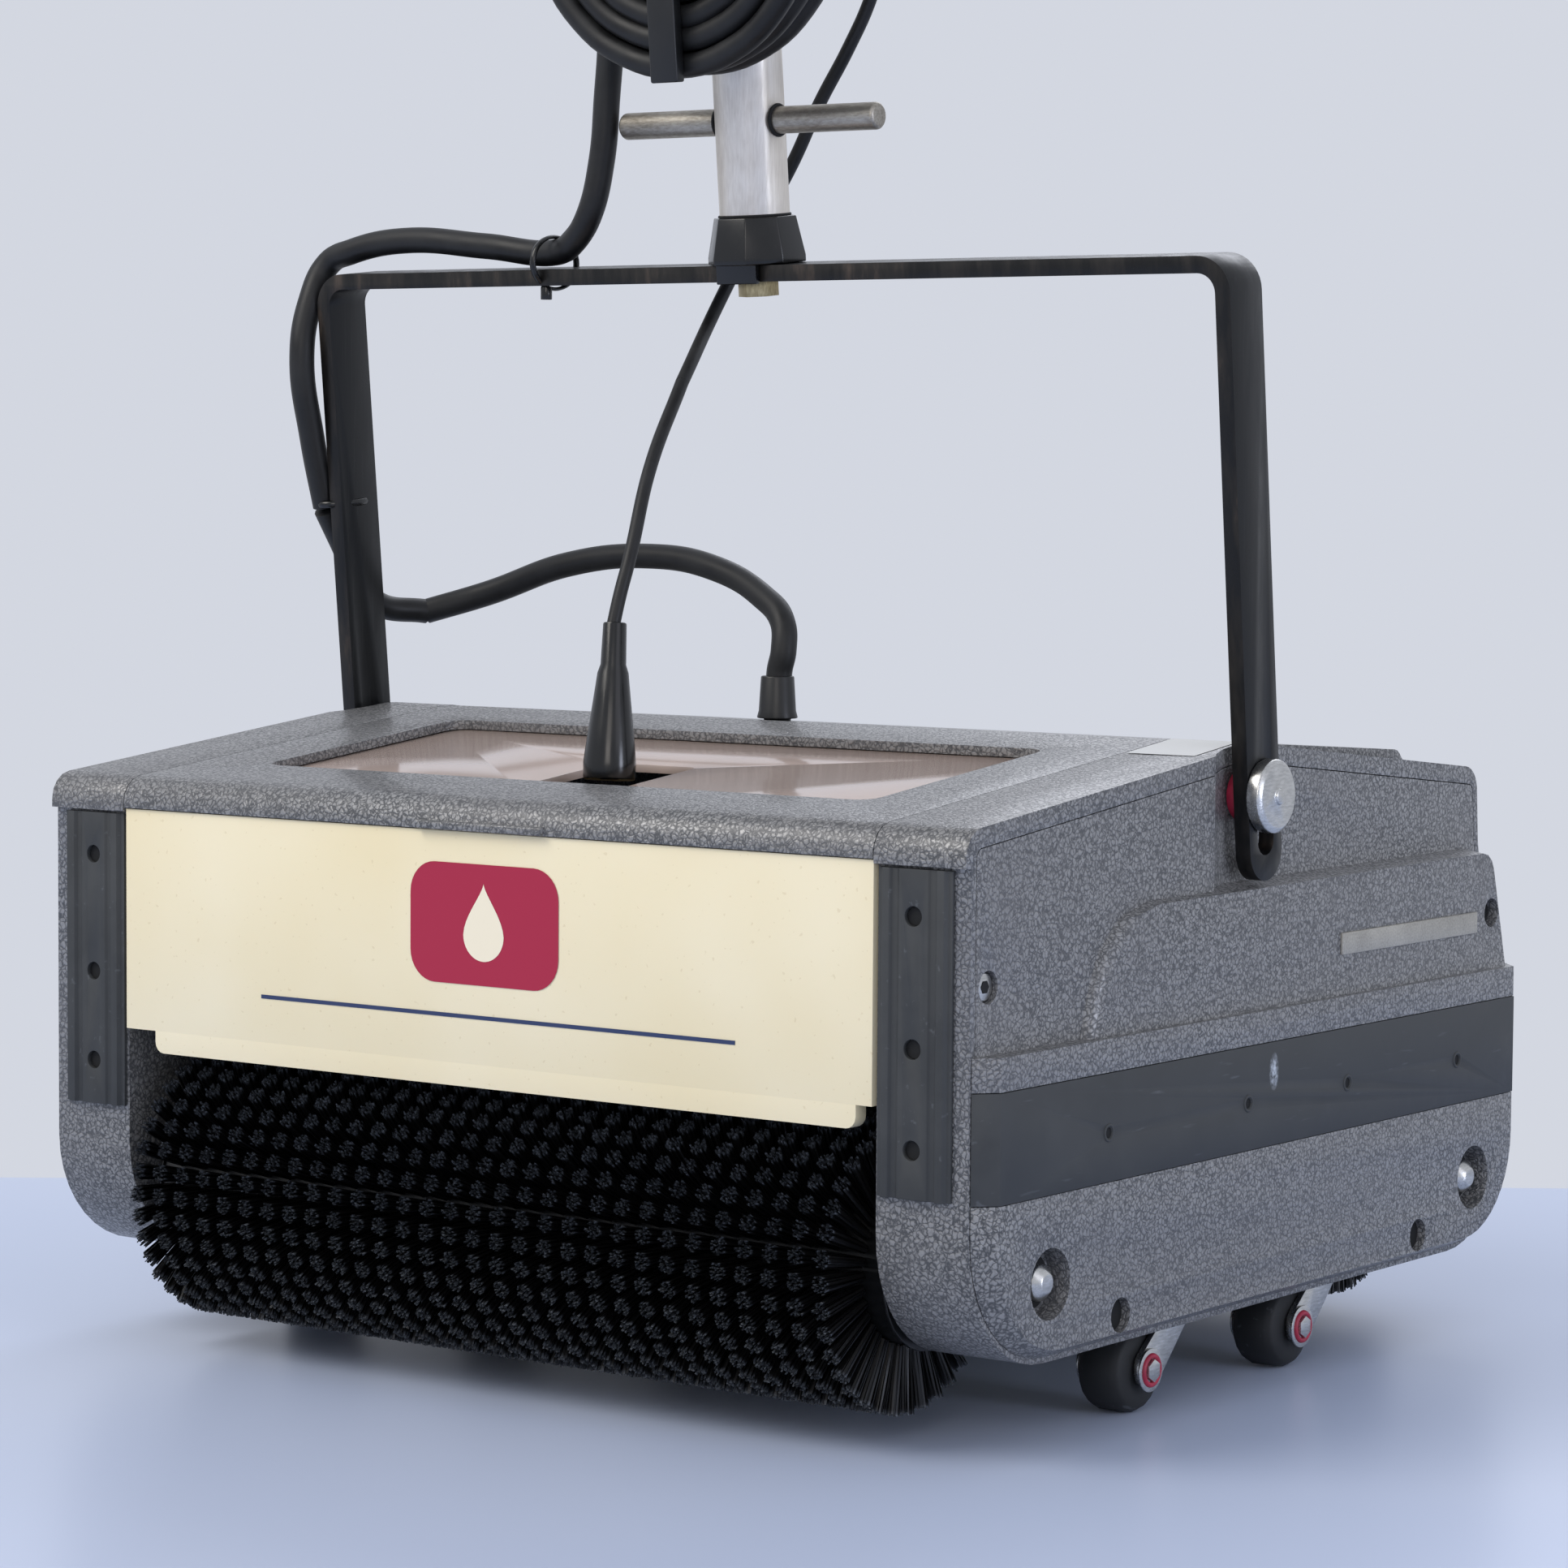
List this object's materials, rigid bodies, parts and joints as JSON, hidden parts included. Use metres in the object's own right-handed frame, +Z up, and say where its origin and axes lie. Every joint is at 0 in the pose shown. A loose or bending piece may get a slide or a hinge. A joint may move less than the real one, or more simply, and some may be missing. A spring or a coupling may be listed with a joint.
{
  "type": "wet dry floor scrubber",
  "caption": "Walk-behind wet and dry floor scrubber: grey hammered body on castors, two cylinder brushes, cream tank, black bail and upright handle with a coiled mains lead.",
  "frame": {"origin": "middle of the machine's footprint on the floor", "axes": "+Z up; -Y towards the clean-water tank's face; +X to the machine's right seen from its rear"},
  "size_m": [0.4346, 0.394, 1.1661],
  "materials": {
    "hammered": "mid-grey hammered enamel",
    "cream": "cream moulded plastic, faint mottling",
    "rubber": "dark grey rubber",
    "blackPaint": "satin black powder coat, fine scratches",
    "blackPlastic": "black moulded plastic",
    "cableBlack": "satin black cable sheath",
    "bristle": "black nylon bristles",
    "aluminium": "satin anodised tube",
    "steel": "brushed stainless steel",
    "red": "crimson moulded plastic",
    "window": "clear smoked pane, pinkish brown",
    "castIron": "dark cast metal"
  },
  "bodies": {
    "chassis": {"left_cheek": "hammered", "right_cheek": "hammered", "left_side_cover": "hammered", "right_side_cover": "hammered", "left_side_strip": "rubber", "right_side_strip": "rubber", "front_bumper_left": "rubber", "front_bumper_right": "rubber", "rear_bumper_left": "rubber", "rear_bumper_right": "rubber", "centre_frame": "castIron", "drive_motor": "castIron", "front_axle": "steel", "rear_axle": "steel", "drum_scraper": "rubber", "recovery_tray": "cream", "clean_water_tank": "cream", "rear_cover": "hammered", "lid_hinge_rod": "steel", "lead_gland": "cableBlack", "dosing_valve": "blackPlastic", "cable_boot": "blackPlastic", "left_pivot_bolt": "steel", "right_pivot_bolt": "steel", "motor_lead": "cableBlack", "dosing_cable": "cableBlack", "drive_belt": "rubber"},
    "slot_bushes": {"left_bush": "red", "right_bush": "red"},
    "handle": {"bail": "blackPaint", "handle_collar": "blackPlastic", "collar_bolt": "steel", "handle_tube": "aluminium", "cross_bar": "steel", "lower_cable_hook": "blackPlastic", "mains_hank": "cableBlack", "mains_lead": "cableBlack", "motor_lead_upper": "cableBlack", "mains_plug": "blackPlastic", "control_head": "blackPlastic"},
    "upper_hook": {"upper_cable_hook": "blackPlastic"},
    "lever": {"dosing_lever": "blackPlastic"},
    "switch": {"power_switch": "red"},
    "lid": {"lid_frame": "hammered", "window_pane": "window"},
    "front_brush": {"front_brush_core": "blackPlastic", "front_bristles": "bristle"},
    "rear_brush": {"rear_brush_core": "blackPlastic", "rear_bristles": "bristle"},
    "motor_shaft": {"motor_pulley": "steel"},
    "idler": {"idler_pulley": "steel"},
    "drum": {"transfer_drum": "steel"},
    "front_left_swivel": {"front_left_fork": "steel"},
    "front_left_roller": {"front_left_wheel": "rubber"},
    "front_right_swivel": {"front_right_fork": "steel"},
    "front_right_roller": {"front_right_wheel": "rubber"},
    "rear_left_swivel": {"rear_left_fork": "steel"},
    "rear_left_roller": {"rear_left_wheel": "rubber"},
    "rear_right_swivel": {"rear_right_fork": "steel"},
    "rear_right_roller": {"rear_right_wheel": "rubber"}
  },
  "joints": [
    {"name": "bail_tilt", "type": "hinge", "parent": "chassis", "child": "slot_bushes", "pos_m": [0, -0.0085, 0.2115], "axis": [-1, 0, 0], "range_deg": [-20, 45], "deforming": ["motor_lead", "dosing_cable"]},
    {"name": "bail_lift", "type": "slide", "parent": "slot_bushes", "child": "handle", "axis": [0, -0.0976, 0.9952], "range_m": [0, 0.0145], "deforming": ["motor_lead", "dosing_cable"]},
    {"name": "upper_hook_swivel", "type": "hinge", "parent": "handle", "child": "upper_hook", "pos_m": [0, -0.09095, 0.79624], "axis": [0, 0.9952, 0.0976], "range_deg": [0, 180]},
    {"name": "dosing_lever_pull", "type": "hinge", "parent": "handle", "child": "lever", "pos_m": [0.052, -0.09496, 1.09327], "axis": [0, -0.9952, -0.0976], "range_deg": [0, 12], "stiffness_Nm_per_rad": 0.8},
    {"name": "power_rocker", "type": "hinge", "parent": "handle", "child": "switch", "pos_m": [0, -0.06994, 1.11482], "axis": [-1, 0, 0], "range_deg": [0, 12]},
    {"name": "lid_hinge", "type": "hinge", "parent": "chassis", "child": "lid", "pos_m": [0, -0.0085, 0.2252], "axis": [-1, 0, 0], "range_deg": [0, 35]},
    {"name": "front_brush_spin", "type": "hinge", "parent": "chassis", "child": "front_brush", "pos_m": [0, -0.1465, 0.059], "axis": [1, 0, 0], "continuous": true},
    {"name": "rear_brush_spin", "type": "hinge", "parent": "chassis", "child": "rear_brush", "pos_m": [0, 0.1465, 0.059], "axis": [1, 0, 0], "continuous": true},
    {"name": "motor_spin", "type": "hinge", "parent": "chassis", "child": "motor_shaft", "pos_m": [-0.15, 0.036, 0.152], "axis": [1, 0, 0], "continuous": true},
    {"name": "idler_spin", "type": "hinge", "parent": "chassis", "child": "idler", "pos_m": [-0.184, 0.17, 0.066], "axis": [1, 0, 0], "continuous": true},
    {"name": "drum_spin", "type": "hinge", "parent": "chassis", "child": "drum", "pos_m": [0, 0, 0.068], "axis": [1, 0, 0], "continuous": true},
    {"name": "front_left_castor_swivel", "type": "hinge", "parent": "chassis", "child": "front_left_swivel", "pos_m": [-0.183, -0.042, 0.036], "axis": [0, 0, 1], "continuous": true},
    {"name": "front_left_castor_roll", "type": "hinge", "parent": "front_left_swivel", "child": "front_left_roller", "pos_m": [-0.183, -0.06, 0.0155], "axis": [1, 0, 0], "continuous": true},
    {"name": "front_right_castor_swivel", "type": "hinge", "parent": "chassis", "child": "front_right_swivel", "pos_m": [0.183, -0.042, 0.036], "axis": [0, 0, 1], "continuous": true},
    {"name": "front_right_castor_roll", "type": "hinge", "parent": "front_right_swivel", "child": "front_right_roller", "pos_m": [0.183, -0.06, 0.0155], "axis": [1, 0, 0], "continuous": true},
    {"name": "rear_left_castor_swivel", "type": "hinge", "parent": "chassis", "child": "rear_left_swivel", "pos_m": [-0.183, 0.062, 0.036], "axis": [0, 0, 1], "continuous": true},
    {"name": "rear_left_castor_roll", "type": "hinge", "parent": "rear_left_swivel", "child": "rear_left_roller", "pos_m": [-0.183, 0.044, 0.0155], "axis": [1, 0, 0], "continuous": true},
    {"name": "rear_right_castor_swivel", "type": "hinge", "parent": "chassis", "child": "rear_right_swivel", "pos_m": [0.183, 0.062, 0.036], "axis": [0, 0, 1], "continuous": true},
    {"name": "rear_right_castor_roll", "type": "hinge", "parent": "rear_right_swivel", "child": "rear_right_roller", "pos_m": [0.183, 0.044, 0.0155], "axis": [1, 0, 0], "continuous": true}
  ],
  "couplings": [
    {"joint": "rear_brush_spin", "follows": "front_brush_spin", "ratio": -1},
    {"joint": "motor_spin", "follows": "front_brush_spin", "ratio": 1.1667},
    {"joint": "idler_spin", "follows": "front_brush_spin", "ratio": 2.3333}
  ]
}
